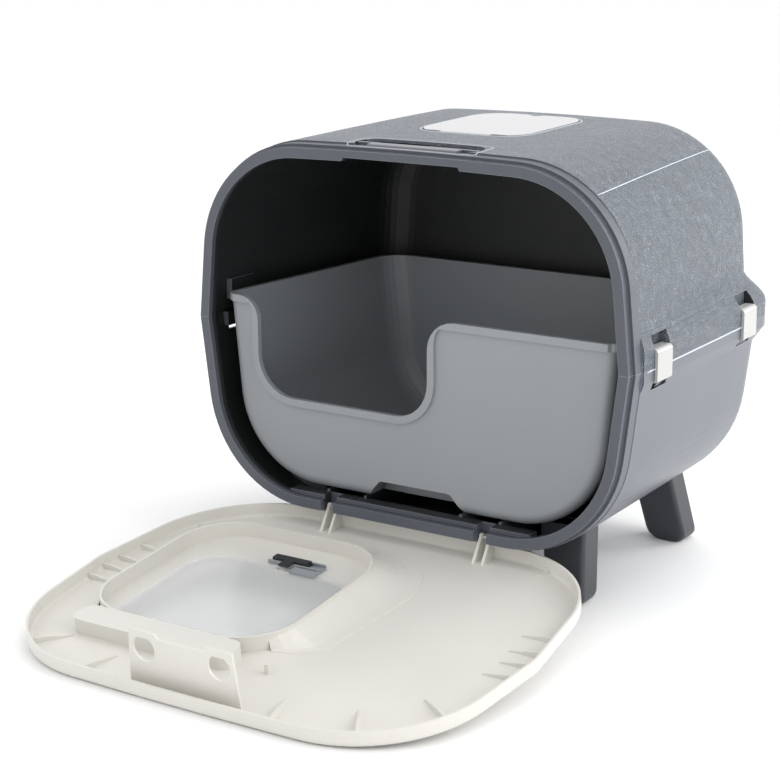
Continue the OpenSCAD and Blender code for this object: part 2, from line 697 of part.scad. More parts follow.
module scoop(d, up) {
    p = scoop_path(d);
    polygon(concat([[p[0].x, rim_z + up]], p, [[p[len(p) - 1].x, rim_z + up]]));
}
module finger_shape(grow) {
    w = finger_w / 2 + grow;
    b = [finger_x + w, tray_z - cut];
    c = [finger_x + w - 18, tray_z + finger_h + grow];
    d = [finger_x - w + 18, c.y];
    a = [finger_x - w, b.y];
    polygon(concat([a, b], corner(b, c, d, 8 + grow, 6), corner(c, d, a, 8 + grow, 6)));
}
module inner_tray() color(tray_colour) placed() difference() {
    union() {
        shell([for (s = tray_steps) ring(tray_path(s[0], s[1]), s[0])],
            [for (s = tray_inner) ring(tray_path(s[0], s[1] + tray_wall), s[0])], true);
        translate([0, 0, rim_z - rim_h]) linear_extrude(rim_h) difference() {
            rim_plan(-rim_out, tray_steps);
            rim_plan(tray_wall / 2, tray_steps);
        }
        slab(tray_front - rim_out, tray_front + tray_wall / 2) scoop(rim_h, -lap);
        intersection() {
            sweep([for (s = tray_steps) ring(tray_path(s[0], s[1] + lap), s[0])]);
            slab(tray_front, tray_front + finger_d + seat_wall) finger_shape(seat_wall);
        }
    }
    slab(tray_front - rim_out - cut, tray_front + tray_front_r) scoop(0, cut);
    slab(tray_front - cut, tray_front + finger_d) finger_shape(0);
}

// Door
function door_rings(w) = concat(
    [for (a = [0:22.5:90]) let (r = door_edge_r - w)
        ring(front_path(w + r * (1 - sin(a))), face_y + w + r * (1 - cos(a)))],
    [ring(front_path(w), skirt_y)]
);
entry_z = entry_low_z + entry_h / 2;
house_z = entry_low_z + entry_h + housing_h / 2;
eye_z = window_top_z + 7;
eye_y = skin_y + lap + knuckle_r;
module at_entry(z) translate([entry_x, z]) children();
module entry_rim(grow) at_entry(entry_z) round_rect(entry_w + 2 * grow, entry_h + 2 * grow, entry_r + grow);
module house(grow, r) at_entry(house_z) round_rect(housing_w + 2 * grow, housing_h + 2 * grow, r + grow);
module window_shape(g) {
    a = [window_x0 - g, window_low_z - g];
    b = [window_x1 + g, window_low_z - g];
    c = [window_x1 + g, window_top_z + g];
    d = [window_x0 - g, window_top_z + g];
    polygon(concat(corner(d, a, b, window_r + g, 12), corner(a, b, c, window_r + g, 12),
        corner(b, c, d, window_top_r + g, 14), corner(c, d, a, 6 + g, 5)));
}
// Slope around the entry rim, wide on the right and fading out at both ends of the housing
module surround_slope() {
    width = [[-216, 9], [-180, surround / 3], [-90, surround / 2], [-30, surround], [0, surround], [36, 9]];
    function spot(a, r) = [
        entry_x + (cos(a) >= 0 ? 1 : -1) * (entry_w / 2 - entry_r) + r * cos(a),
        entry_z + (sin(a) > 0 ? 1 : -1) * (entry_h / 2 - entry_r) + r * sin(a)
    ];
    high = rim_in - 2.6 - skin_y;
    function rise(t) = skin_y + 0.6 + high * t * t;
    sweep([for (a = [-216:9:36]) let (r0 = entry_r + 1, r1 = entry_r + lookup(a, width))
        concat([for (t = [1:-0.25:0]) let (p = spot(a, mix(r1, r0, t))) [p.x, rise(t), p.y]],
            [for (t = [0:0.25:1]) let (p = spot(a, mix(r1, r0, t))) [p.x, max(skin_y - lap, rise(t) - 2.2), p.y]])
    ], ladder = true);
}
// Gussets: place across as a share of half the width, height as a share of the roof, and turn
gusset_list = [
    [0.875, 0.622, 0], [0.887, 0.566, 0], [0.875, 0.516, 0], [0.86, 0.449, 0], [0.328, 0.901, 74],
    [0.608, 0.871, 60], [0.785, 0.774, 35], [-0.728, 0.875, 130], [-0.449, 0.91, 104], [-0.875, 0.622, 180],
    [-0.887, 0.566, 180], [-0.875, 0.516, 180], [-0.868, 0.449, 180], [-0.906, 0.282, 205], [-0.709, 0.163, 238],
    [0.649, 0.172, -58]
];
module gussets() intersection() {
    slab(face_y + 1, skirt_y - cut) polygon(front_path(door_wall / 2));
    for (g = gusset_list) translate([g.x * front_w / 2, 0, g.y * roof_z]) rotate([0, -g[2], 0]) translate([-14, 0, -seat_wall / 2])
        linear_extrude(seat_wall) polygon([
            [0, skin_y - lap], [90, skin_y - lap], [90, skin_y + gusset_h], [gusset_l, skin_y + gusset_h], [3, skin_y + 1]
        ]);
}
tongue_z = roof_z - lip_in + lip_notch_t - 3;
module tongue() translate([0, 0, tongue_z - seat_wall]) linear_extrude(seat_wall) difference() {
    polygon([
        [-tongue_w / 2 - 2, skin_y - lap], [tongue_w / 2 + 2, skin_y - lap], [tongue_w / 2 - 3, tongue_in],
        [30, tongue_in], [26, tongue_in - 5], [-26, tongue_in - 5], [-30, tongue_in], [-tongue_w / 2 + 3, tongue_in]
    ]);
    for (i = [-1, 1]) translate([i * 44, tongue_in - 18]) intersection() {
        circle(13);
        translate([-13, -13]) square([26, 24]);
    }
}
module lugs() hinge_places() for (i = [-1, 1]) translate([i * lug_pitch / 2 - lug_t / 2, 0, 0])
    rotate([90, 0, 90]) linear_extrude(lug_t) {
        polygon([
            [skin_y - lap, floor_gap + door_wall - lap], [hinge_y, hinge_z - lug_eye_r * 0.5],
            [hinge_y + 1, hinge_z + lug_eye_r * 0.96], [skin_y - lap, floor_gap + 27]
        ]);
        translate([hinge_y, hinge_z]) circle(lug_eye_r);
    }
ear_out = entry_w / 2 - 40;
ear_in = 27;
module ears() for (e = [-ear_out, -ear_in, ear_in, ear_out]) translate([entry_x + e, 0, 0])
    box(-3, 3, skin_y - lap, eye_y + 4, eye_z - 5, eye_z + 6);
module door_panel() color(door_colour) opened() difference() {
    union() {
        difference() {
            union() {
                dish(door_rings(0), door_rings(door_wall));
                slab(skin_y - lap, rim_in) entry_rim(seat_wall);
                surround_slope();
                slab(skin_y - lap, rim_in) house(0, 14);
            }
            slab(skin_y, rim_in + cut) entry_rim(0);
            slab(face_y - cut, rim_in - seat_wall) house(-seat_wall, 14);
            slab(face_y - cut, skin_y + cut) window_shape(0);
        }
        ears();
        gussets();
        tongue();
        lugs();
        rod_y(38, skin_y - lap, skin_y + 10, house_z, 3);
    }
    hinge_places() rod_x(-notch_w / 2, notch_w / 2, hinge_y, hinge_z, hinge_pin_r + pin_gap);
    rod_x(entry_x - ear_out - 6, entry_x + ear_out + 6, eye_y, eye_z, axle_r);
}

// Flap, with a cut-out in its lower edge for the finger of the lock
flap_y = skin_y + flap_gap;
lock_x = entry_x + 12;
finger_lock_w = 12;
tab_x = lock_x + 17;
module door_flap() color(clear_colour) opened() difference() {
    union() {
        slab(flap_y, flap_y + flap_t) difference() {
            window_shape(flap_lap);
            translate([lock_x - 3, 0]) square([finger_lock_w + 6, window_low_z + 6]);
            translate([window_x0 - window_r, window_top_z - cut]) square([2 * entry_w, entry_r]);
        }
        for (e = [-1, 0, 1] * (ear_out + ear_in) / 2) translate([entry_x + e, 0, 0]) {
            rod_x(-14, 14, eye_y, eye_z, knuckle_r);
            box(-14, 14, flap_y, flap_y + flap_t, eye_z - 12, eye_z);
        }
    }
    rod_x(entry_x - ear_out - 6, entry_x + ear_out + 6, eye_y, eye_z, axle_r + pin_gap);
}
module flap_axle() color(steel_colour) opened()
    rod_x(entry_x - ear_out - 3, entry_x + ear_out + 3, eye_y, eye_z, axle_r);
module flap_tab() color(tray_colour) opened()
    box(tab_x, tab_x + 30, flap_y + flap_t, flap_y + flap_t + 3, window_low_z - 3, window_low_z + 8);

// Flap lock and the track it slides in
track_z = window_low_z - 21;
slider_x = lock_x - 16;
slider_w = 44;
track_x = slider_x - 4;
track_end = slider_x + slider_w + lock_travel + 6;
module lock_track() color(tray_colour) opened() {
    box(track_x, track_end, skin_y, skin_y + 3, track_z, track_z + 15);
    for (z = [track_z, track_z + 13.8]) box(track_x, track_end, skin_y + 3, skin_y + 6, z, z + 1.2);
    for (z = [track_z, track_z + 12.5]) box(track_x, track_end, skin_y + 4.8, skin_y + 6, z, z + 2.5);
}
module flap_lock() color(dark_colour) opened() {
    box(slider_x, slider_x + slider_w, skin_y + 3, skin_y + 4.4, track_z + 1.6, track_z + 13.4);
    box(slider_x, slider_x + slider_w, skin_y + 4.4, skin_y + 8.6, track_z + 3, track_z + 12);
    box(lock_x, lock_x + finger_lock_w, skin_y + 6.6, skin_y + 8.6, track_z + 12, track_z + 24);
}

// Clips, drawn for the right side
module clip(y, side) color(clip_colour) placed() mirror([side < 0 ? 1 : 0, 0, 0]) difference() {
    f = flange_at(y);
    x = f + clip_gap;
    top = part_z + flange_up + room;
    translate([0, y + clip_w / 2, 0]) rotate([90, 0, 0]) linear_extrude(clip_w) {
        translate([clip_x(y), clip_z]) circle(clip_eye_r);
        translate([clip_x(y), clip_z - 1.5]) square([clip_in + clip_gap + lap, 3]);
        low = [x, clip_z - 1.5];
        high = [x + clip_t, top + clip_t];
        tip = [f - hook_in, top];
        polygon(concat([low], corner(low, [high.x, low.y], high, 2.5, 4),
            corner([high.x, low.y], high, [tip.x, high.y], 5, 6), [[tip.x, high.y], tip], corner(tip, [x, top], low, 1.5, 3)));
    }
    rod_y(clip_x(y), y - clip_w, y + clip_w, clip_z, clip_pin_r + pin_gap);
}
module clip_front_right() clip(clip_front_y, 1);
module clip_rear_right() clip(clip_back_y, 1);
module clip_front_left() clip(clip_front_y, -1);
module clip_rear_left() clip(clip_back_y, -1);
module clip_pins() color(steel_colour) placed() clip_bores(clip_pin_r);

// Legs, slanted toward the middle of the base, rounded below and open at the top under the base
leg_top = foot_z + 26;
function leg_ring(w, d, r) = [for (q = [[1, 1], [1, -1], [-1, -1], [-1, 1]], i = [0:4])
    let (a = (q.x > 0 ? (q.y > 0 ? 90 : 0) : (q.y > 0 ? 180 : 270)) - 22.5 * i)
    [q.x * (w / 2 - r) + r * cos(a), q.y * (d / 2 - r) + r * sin(a)]];
function leg_section(z, inset, side, lean) =
    let (w = leg_w + leg_flare * z / foot_z - 2 * (inset + side), d = leg_d + leg_flare * z / foot_z - 2 * inset)
    [for (p = leg_ring(w, d, 5 - inset)) [p.x + lean.x * z / foot_z, p.y + lean.y * z / foot_z, z]];
module leg_form(inset, top, lean) sweep(concat(
    [for (a = [0:15:90]) leg_section(inset + foot_r * (1 - cos(a)), inset, foot_r * (1 - sin(a)), lean)],
    [leg_section(top, inset, 0, lean)]
));
module leg(side, i) color(dark_colour) placed() mirror([side < 0 ? 1 : 0, 0, 0]) {
    s = leg_spots[i];
    lean = [-leg_lean_x, s[2]];
    difference() {
        translate([s.x, s.y, 0]) union() {
            difference() {
                leg_form(0, leg_top, lean);
                leg_form(leg_wall, leg_top + cut, lean);
            }
            intersection() {
                leg_form(lap, leg_top - lap, lean);
                translate([lean.x, lean.y, leg_top]) cube([2 * leg_w, tenon.y, leg_top], center = true);
            }
        }
        base_core(-grain_step - 0.3);
    }
    translate([s.x + lean.x, s.y + lean.y, foot_z - cut]) linear_extrude(sill_z - foot_z)
        square(tenon, center = true);
}
module leg_front_right() leg(1, 0);
module leg_rear_right() leg(1, 1);
module leg_front_left() leg(-1, 0);
module leg_rear_left() leg(-1, 1);

// Carry handle, rounded in front about its pins
module carry_handle() color(shell_colour) placed() difference() {
    intersection() {
        lift(tub_z + lap, tub_z + lap + grip_t) stadium(2);
        union() {
            rod_x(-ear_x, ear_x, grip_y, grip_z, grip_t / 2);
            box(-ear_x, ear_x, grip_y, recess_y + grip_w, tub_z, tub_z + 2 * grip_t);
            box(-recess_w, recess_w, grip_y + 8, recess_y + grip_w, tub_z, tub_z + 2 * grip_t);
        }
    }
    both_sides() rod_x(ear_x - 9, ear_x + cut, grip_y, grip_z, grip_pin_r + pin_gap);
}
module handle_pins() color(steel_colour) placed() grip_pin(grip_pin_r);

// Filter cover, pad and the cassette that carries the pad
module filter_cover() color(clip_colour) placed() on_roof() difference() {
    union() {
        lift(cover_up - cover_t, cover_up) difference() {
            cover_plan(0);
            translate([-cover_w, -cut]) square([2 * cover_w, pin_y + cut]);
            for (i = [-1, 1]) translate([i * (knuckle_x + cover_w / 2) - cover_w / 2, -cut])
                square([cover_w, pin_y + 3 + cut]);
            translate([0, cover_l + 4]) circle(10);
        }
        rod_x(-knuckle_x, knuckle_x, pin_y, pin_z, cover_t / 2);
    }
    rod_x(-knuckle_x - cut, knuckle_x + cut, pin_y, pin_z, cover_pin_r + pin_gap);
}
module cover_pin() color(steel_colour) placed() on_roof_pin(cover_pin_r);
module filter_frame() color(tray_colour) placed() on_roof() difference() {
    lift(-well_d, -well_d + 14) cover_plan(-lap, well_x, well_y, well_r);
    lift(-well_d + 2.5, -well_d + 15) cover_plan(-3, well_x, well_y, well_r);
    for (i = [-3:3]) translate([i * 15, cover_l / 2, -well_d - cut]) linear_extrude(5) square([9, well_y - 30], center = true);
}
module filter_pad() color(pad_colour) placed() on_roof()
    lift(-well_d + 2.5, -well_d + 2.5 + pad_t) cover_plan(-3.5, well_x, well_y, well_r);

hood();
base();
inner_tray();
door_panel();
door_flap();
flap_axle();
flap_tab();
flap_lock();
lock_track();
hinge_pin_left();
hinge_pin_right();
clip_front_right();
clip_rear_right();
clip_front_left();
clip_rear_left();
clip_pins();
leg_front_right();
leg_rear_right();
leg_front_left();
leg_rear_left();
carry_handle();
handle_pins();
filter_cover();
cover_pin();
filter_pad();
filter_frame();
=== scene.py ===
# %% [markdown]
# # A hooded cat litter box with its door open
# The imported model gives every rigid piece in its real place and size. This lesson gives the pieces the
# surfaces of the real thing: leather-grained and smooth moulded plastic, clear and glossy plastic, foam and
# steel. It starts with the frame, because every other step looks up pieces in it by name.

# %% Load the frame
import bpy, json, math
from mathutils import Matrix, Vector


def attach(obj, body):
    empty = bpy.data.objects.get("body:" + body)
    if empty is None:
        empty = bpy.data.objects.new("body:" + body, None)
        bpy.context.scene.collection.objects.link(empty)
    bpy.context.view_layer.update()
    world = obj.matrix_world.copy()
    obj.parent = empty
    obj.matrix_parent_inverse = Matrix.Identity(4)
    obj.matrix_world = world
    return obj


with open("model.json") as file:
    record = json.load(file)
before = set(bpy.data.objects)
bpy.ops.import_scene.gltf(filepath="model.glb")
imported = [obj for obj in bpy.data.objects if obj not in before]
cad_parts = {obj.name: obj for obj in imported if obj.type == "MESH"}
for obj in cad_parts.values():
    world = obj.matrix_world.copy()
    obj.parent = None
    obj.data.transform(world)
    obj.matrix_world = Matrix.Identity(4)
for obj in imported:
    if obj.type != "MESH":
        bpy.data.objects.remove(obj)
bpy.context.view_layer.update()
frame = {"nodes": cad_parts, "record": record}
nodes = frame["nodes"]
print("pieces in the frame:", len(nodes))

# %% [markdown]
# ## Camera
# The product is seen from its right front corner and a little from above. A long lens keeps the upright
# lines nearly parallel, so the camera stands two metres away. Its axes are built from the viewing
# direction, with a very small roll, because that is exact and easy to read.

# %% Camera
camera_place = (1.07987, -1.64197, 0.73101)
view_turn, view_rise, view_roll = math.radians(33.503), math.radians(14.604), math.radians(-0.396)
ahead = Vector((
    -math.sin(view_turn) * math.cos(view_rise),
    math.cos(view_turn) * math.cos(view_rise),
    -math.sin(view_rise)))
level = Vector((math.cos(view_turn), math.sin(view_turn), 0))
upward = level.cross(ahead)
right = level * math.cos(view_roll) + upward * math.sin(view_roll)
upward = upward * math.cos(view_roll) - level * math.sin(view_roll)
camera = bpy.data.objects.new("photo_camera", bpy.data.cameras.new("photo_camera"))
camera.data.sensor_width = 36
camera.data.sensor_fit = "HORIZONTAL"
camera.data.lens = 90.86
camera.matrix_world = Matrix.Translation(camera_place) @ Matrix(
    [[right[i], upward[i], -ahead[i]] for i in range(3)]).to_4x4()
bpy.context.scene.collection.objects.link(camera)
bpy.context.scene.camera = camera
print("lens in mm:", camera.data.lens)

# %% [markdown]
# ## Floor and light
# The object stands on a plain, almost white floor under soft studio light. A broad light above gives the
# pale sheen on the roof, one on the right models the side, and a low one behind on the right glances along
# the leather, so that its grain shows. A weak one from the front left helps the tray and the door. The white
# surroundings light the shadows, so none is black.

# %% Floor
def flat_sheet(name, size):
    mesh = bpy.data.meshes.new(name)
    corners = [(-size, -size, 0), (size, -size, 0), (size, size, 0), (-size, size, 0)]
    mesh.from_pydata(corners, [], [(0, 1, 2, 3)])
    sheet = bpy.data.objects.new(name, mesh)
    bpy.context.scene.collection.objects.link(sheet)
    return sheet

floor = flat_sheet("studio_floor", 12)
floor_finish = bpy.data.materials.new("studio_floor")
floor_finish.use_nodes = True
floor_shader = floor_finish.node_tree.nodes["Principled BSDF"]
floor_shader.inputs["Base Color"].default_value = (0.97, 0.97, 0.97, 1)
floor_shader.inputs["Roughness"].default_value = 0.7
floor.data.materials.append(floor_finish)

# %% Lights
def soft_light(name, place, aim, size, power):
    lamp = bpy.data.objects.new(name, bpy.data.lights.new(name, "AREA"))
    lamp.data.shape = "SQUARE"
    lamp.data.size = size
    lamp.data.energy = power
    lamp.location = place
    lamp.rotation_euler = (Vector(aim) - Vector(place)).to_track_quat("-Z", "Y").to_euler()
    bpy.context.scene.collection.objects.link(lamp)
    return lamp

middle, upper_side = (0, 0.05, 0.25), (0.2, 0.2, 0.35)
lamps = [
    soft_light("roof_light", (0.3, 0.9, 2.6), middle, 1.8, 12),
    soft_light("side_light", (2.4, 0.2, 1.5), middle, 1.4, 20),
    soft_light("sheen_light", (1.3, 1.7, 0.9), upper_side, 1.0, 14),
    soft_light("front_light", (-1.2, -2.4, 1.9), middle, 1.6, 2),
]
world = bpy.data.worlds.new("white_room")
bpy.context.scene.world = world
world.use_nodes = True
surroundings = world.node_tree.nodes["Background"]
surroundings.inputs["Color"].default_value = (1, 1, 1, 1)
surroundings.inputs["Strength"].default_value = 1.03
bpy.context.scene.view_settings.view_transform = "Standard"
print("lights:", [lamp.name for lamp in lamps])

# %% [markdown]
# ## A small kit for shader nodes
# Every finish below is wired from the same few kinds of node, so two short helpers do it: one adds a node
# with its values, the other adds a maths node. Groups are built once and placed in each material with
# values of its own.

# %% Node helpers
def add(tree, kind, links=(), **values):
    node = tree.nodes.new(kind)
    for key, value in values.items():
        setattr(node, key, value)
    for socket, source in dict(links).items():
        if hasattr(source, "is_linked"):
            tree.links.new(source, node.inputs[socket])
        else:
            node.inputs[socket].default_value = source
    return node

def maths(tree, operation, a, b=0.0, c=0.0):
    return add(tree, "ShaderNodeMath", {0: a, 1: b, 2: c}, operation=operation).outputs[0]

def new_group(name, inputs, outputs):
    group = bpy.data.node_groups.new(name, "ShaderNodeTree")
    for label, start in inputs.items():
        group.interface.new_socket(label, in_out="INPUT", socket_type="NodeSocketFloat").default_value = start
    for label, kind in outputs.items():
        group.interface.new_socket(label, in_out="OUTPUT", socket_type=kind)
    return group, group.nodes.new("NodeGroupInput"), group.nodes.new("NodeGroupOutput")

def place(tree, group, **values):
    node = tree.nodes.new("ShaderNodeGroup")
    node.node_tree = group
    for label, value in values.items():
        socket = node.inputs[label.replace("_", " ")]
        if hasattr(value, "is_linked"):
            tree.links.new(value, socket)
        else:
            socket.default_value = value
    return node

# %% [markdown]
# ## Effects that several finishes share
# Leather grain is a net of small pillows with creases between them, so smoothed cells give the pillows
# and a second, larger set bends them. Moulded plastic is never quite even: a fine orange-peel swell and a
# slow change in gloss and tone show that it is plastic. Edges where the mould left a small radius get a
# painted highlight: a bevelled normal finds them without any change to the mesh, and the colour is made
# lighter there.

# %% Leather grain
leather_grain, grain_in, grain_out = new_group(
    "leather_grain", {"Cell": 300.0, "Depth": 1.0}, {"Height": "NodeSocketFloat", "Crease": "NodeSocketFloat"})
spot = add(leather_grain, "ShaderNodeTexCoord").outputs["Object"]
bend = add(leather_grain, "ShaderNodeTexNoise", {"Vector": spot, "Scale": 60.0, "Detail": 2.0}).outputs["Color"]
bent = add(leather_grain, "ShaderNodeMix", {0: 0.012, 4: spot, 5: bend}, data_type="VECTOR").outputs[1]
cells = add(leather_grain, "ShaderNodeTexVoronoi", {"Vector": bent, "Scale": grain_in.outputs["Cell"]},
            feature="DISTANCE_TO_EDGE").outputs["Distance"]
pillow = maths(leather_grain, "SMOOTH_MIN", cells, 0.28, 0.2)
raised = maths(leather_grain, "MULTIPLY", pillow, grain_in.outputs["Depth"])
leather_grain.links.new(raised, grain_out.inputs["Height"])
# The crease mask is used to paint shade into the grain's creases
leather_grain.links.new(maths(leather_grain, "LESS_THAN", cells, 0.05), grain_out.inputs["Crease"])

# %% Moulded skin
moulded_skin, skin_in, skin_out = new_group(
    "moulded_skin", {"Swell": 1.0, "Gloss": 0.4}, {
        "Height": "NodeSocketFloat", "Roughness": "NodeSocketFloat", "Tone": "NodeSocketFloat"})
spot = add(moulded_skin, "ShaderNodeTexCoord").outputs["Object"]
peel = add(moulded_skin, "ShaderNodeTexNoise", {"Vector": spot, "Scale": 900.0, "Detail": 3.0}).outputs["Fac"]
slow = add(moulded_skin, "ShaderNodeTexNoise", {"Vector": spot, "Scale": 9.0, "Detail": 4.0}).outputs["Fac"]
uneven = maths(moulded_skin, "MULTIPLY_ADD", slow, 0.16, -0.08)
swelled = maths(moulded_skin, "MULTIPLY", peel, skin_in.outputs["Swell"])
dulled = maths(moulded_skin, "ADD", skin_in.outputs["Gloss"], uneven)
moulded_skin.links.new(swelled, skin_out.inputs["Height"])
moulded_skin.links.new(dulled, skin_out.inputs["Roughness"])
moulded_skin.links.new(maths(moulded_skin, "MULTIPLY_ADD", slow, 0.14, 0.93), skin_out.inputs["Tone"])

# %% Painted edge highlight
# Mask of small-radius edges; the finishes below use it to paint a highlight into the colour
painted_edge_highlight, highlight_in, highlight_out = new_group("painted_edge_highlight", {"Strength": 1.0}, {"Mask": "NodeSocketFloat"})
softened = add(painted_edge_highlight, "ShaderNodeBevel", {"Radius": 0.0012}, samples=6).outputs["Normal"]
true_normal = add(painted_edge_highlight, "ShaderNodeNewGeometry").outputs["True Normal"]
facing = add(painted_edge_highlight, "ShaderNodeVectorMath", {0: softened, 1: true_normal},
             operation="DOT_PRODUCT").outputs["Value"]
turned_away = maths(painted_edge_highlight, "SUBTRACT", 1.0, facing)
highlight_amount = maths(painted_edge_highlight, "MULTIPLY", turned_away, highlight_in.outputs["Strength"])
painted_edge_highlight.links.new(maths(painted_edge_highlight, "MINIMUM", highlight_amount, 1.0), highlight_out.inputs["Mask"])

# %% Inside of the shells
cabin_middle = (0, 0.17, 0.27)
lip_depth = 0.0145
inside_mask, _, mask_out = new_group(
    "inside_mask", {}, {"Mask": "NodeSocketFloat", "Y": "NodeSocketFloat"})
surface = add(inside_mask, "ShaderNodeNewGeometry")
spot = add(inside_mask, "ShaderNodeTexCoord").outputs["Object"]
from_middle = add(inside_mask, "ShaderNodeVectorMath", {0: spot, 1: cabin_middle},
                  operation="SUBTRACT").outputs["Vector"]
outward = add(inside_mask, "ShaderNodeVectorMath", {0: from_middle, 1: surface.outputs["True Normal"]},
              operation="DOT_PRODUCT").outputs["Value"]
depth = add(inside_mask, "ShaderNodeSeparateXYZ", {0: spot}).outputs["Y"]
behind_lip = maths(inside_mask, "GREATER_THAN", depth, lip_depth)
turned_inward = maths(inside_mask, "LESS_THAN", outward, 0.0)
inside_mask.links.new(maths(inside_mask, "MULTIPLY", turned_inward, behind_lip), mask_out.inputs["Mask"])
inside_mask.links.new(depth, mask_out.inputs["Y"])
print("shared effects:", [group.name for group in bpy.data.node_groups])

# %% [markdown]
# ## Finishes
# One function makes any moulded plastic from a colour, a gloss and the shared effects. The shells add a
# dark inside, as the real moulding has, and a darker front frame. The hood adds leather grain everywhere
# behind that smooth frame. Masks do this, because frame, skin and inside are one moulding.

# %% Plain moulded plastic
def mixed(tree, mask, a, b):
    node = add(tree, "ShaderNodeMix", {0: mask, 6: a, 7: b}, data_type="RGBA")
    return node.outputs[2]

def toned(tree, colour, tone):
    bright = add(tree, "ShaderNodeHueSaturation", {"Color": colour, "Value": tone})
    return bright.outputs["Color"]

def plastic(name, colour, gloss, highlight_strength=0.35, coat=0.0):
    finish = bpy.data.materials.new(name)
    finish.use_nodes = True
    tree = finish.node_tree
    body = tree.nodes["Principled BSDF"]
    skin = place(tree, moulded_skin, Swell=1.0, Gloss=gloss)
    highlight_mask = place(tree, painted_edge_highlight, Strength=highlight_strength).outputs["Mask"]
    shade = toned(tree, (*colour, 1), skin.outputs["Tone"])
    # Painted highlight: small-radius edges are mixed towards a lighter copy of the colour
    highlight_colour = [min(1, c * 1.6 + 0.04) for c in colour]
    tree.links.new(mixed(tree, highlight_mask, shade, (*highlight_colour, 1)), body.inputs["Base Color"])
    tree.links.new(skin.outputs["Roughness"], body.inputs["Roughness"])
    relief = add(tree, "ShaderNodeBump", {
        "Strength": 0.05, "Distance": 0.0004, "Height": skin.outputs["Height"]})
    tree.links.new(relief.outputs["Normal"], body.inputs["Normal"])
    body.inputs["Coat Weight"].default_value = coat
    body.inputs["Coat Roughness"].default_value = 0.12
    return finish

finishes = {
    "tray": plastic("tray_plastic", (0.285, 0.305, 0.325), 0.42),
    "door": plastic("cream_plastic", (0.70, 0.685, 0.64), 0.36, highlight_strength=0.2),
    "clip": plastic("white_clip_plastic", (0.45, 0.455, 0.44), 0.28, highlight_strength=0.2, coat=0.2),
    "leg": plastic("leg_plastic", (0.035, 0.038, 0.046), 0.4),
    "dark_plastic": plastic("dark_plastic", (0.02, 0.021, 0.025), 0.3),
    "cover": plastic("cover_plastic", (0.47, 0.465, 0.485), 0.22, highlight_strength=0.2, coat=0.5),
    "grip": plastic("grip_plastic", (0.12, 0.13, 0.15), 0.3),
    # The pale colour of the seams, beads and rims is a painted highlight, far lighter than the shell they sit
    # on
    "bead": plastic("polished_bead_painted_highlight", (0.50, 0.54, 0.60), 0.18, highlight_strength=0.1, coat=0.4),
}
print("plain finishes:", sorted(finishes))

# %% Shell plastic, with its dark inside
frame_depth = 0.0313
# Pale colour painted on small-radius edges of the shells as a highlight
edge_highlight_colour = (0.42, 0.46, 0.52, 1)
# Darker colour painted into the leather grain's creases as shade
crease_shade_colour = (0.10, 0.112, 0.135, 1)
inside_colour = (0.022, 0.024, 0.025, 1)

def shell_plastic(name, colour, frame_colour, gloss, grained):
    finish = bpy.data.materials.new(name)
    finish.use_nodes = True
    tree = finish.node_tree
    body = tree.nodes["Principled BSDF"]
    skin = place(tree, moulded_skin, Swell=0.6, Gloss=gloss)
    highlight_mask = place(tree, painted_edge_highlight, Strength=1.2).outputs["Mask"]
    hollow = place(tree, inside_mask)
    behind_frame = maths(tree, "GREATER_THAN", hollow.outputs["Y"], frame_depth)
    outer = mixed(tree, behind_frame, (*frame_colour, 1), (*colour, 1))
    # Painted highlight: small-radius edges are mixed towards the pale edge colour
    outer = mixed(tree, highlight_mask, toned(tree, outer, skin.outputs["Tone"]), edge_highlight_colour)
    height = skin.outputs["Height"]
    if grained:
        grain = place(tree, leather_grain, Cell=420.0, Depth=1.0)
        covered = maths(tree, "MULTIPLY", behind_frame, maths(tree, "SUBTRACT", 1.0, hollow.outputs["Mask"]))
        leather = maths(tree, "MULTIPLY", grain.outputs["Height"], 4.0)
        height = add(tree, "ShaderNodeMix", {0: covered, 2: height, 3: leather}).outputs[0]
        # Painted shade: the grain's creases are mixed towards a darker colour
        painted_crease_shade = maths(tree, "MULTIPLY", grain.outputs["Crease"], maths(tree, "MULTIPLY", covered, 0.35))
        outer = mixed(tree, painted_crease_shade, outer, crease_shade_colour)
    tree.links.new(mixed(tree, hollow.outputs["Mask"], outer, inside_colour), body.inputs["Base Color"])
    tree.links.new(skin.outputs["Roughness"], body.inputs["Roughness"])
    relief = add(tree, "ShaderNodeBump", {
        "Strength": 1.0 if grained else 0.08, "Distance": 0.001, "Height": height})
    tree.links.new(relief.outputs["Normal"], body.inputs["Normal"])
    return finish

front_frame_colour = (0.085, 0.095, 0.115)
finishes["hood_shell"] = shell_plastic(
    "leather_grained_plastic", (0.175, 0.197, 0.232), front_frame_colour, 0.34, True)
finishes["base_shell"] = shell_plastic(
    "smooth_shell_plastic", (0.115, 0.127, 0.152), front_frame_colour, 0.34, False)
print("shell finishes:", finishes["hood_shell"].name, finishes["base_shell"].name)

# %% [markdown]
# ## Clear flap, steel and foam
# The flap is a thin clear sheet with a faint haze from use, so its gloss and how much shows through it
# change slowly. The pins are drawn steel with fine lines along them. The pad is open charcoal foam, which is
# almost black and full of small holes, whose centres are painted darker still as shade.

# %% Clear flap
def clear_plastic():
    finish = bpy.data.materials.new("clear_flap_plastic")
    finish.use_nodes = True
    tree = finish.node_tree
    body = tree.nodes["Principled BSDF"]
    body.inputs["Base Color"].default_value = (0.80, 0.815, 0.82, 1)
    spot = add(tree, "ShaderNodeTexCoord").outputs["Object"]
    haze = add(tree, "ShaderNodeTexNoise", {"Vector": spot, "Scale": 7.0, "Detail": 2.0}).outputs["Fac"]
    tree.links.new(maths(tree, "MULTIPLY_ADD", haze, 0.05, 0.08), body.inputs["Roughness"])
    tree.links.new(maths(tree, "MULTIPLY_ADD", haze, 0.10, 0.30), body.inputs["Alpha"])
    return finish

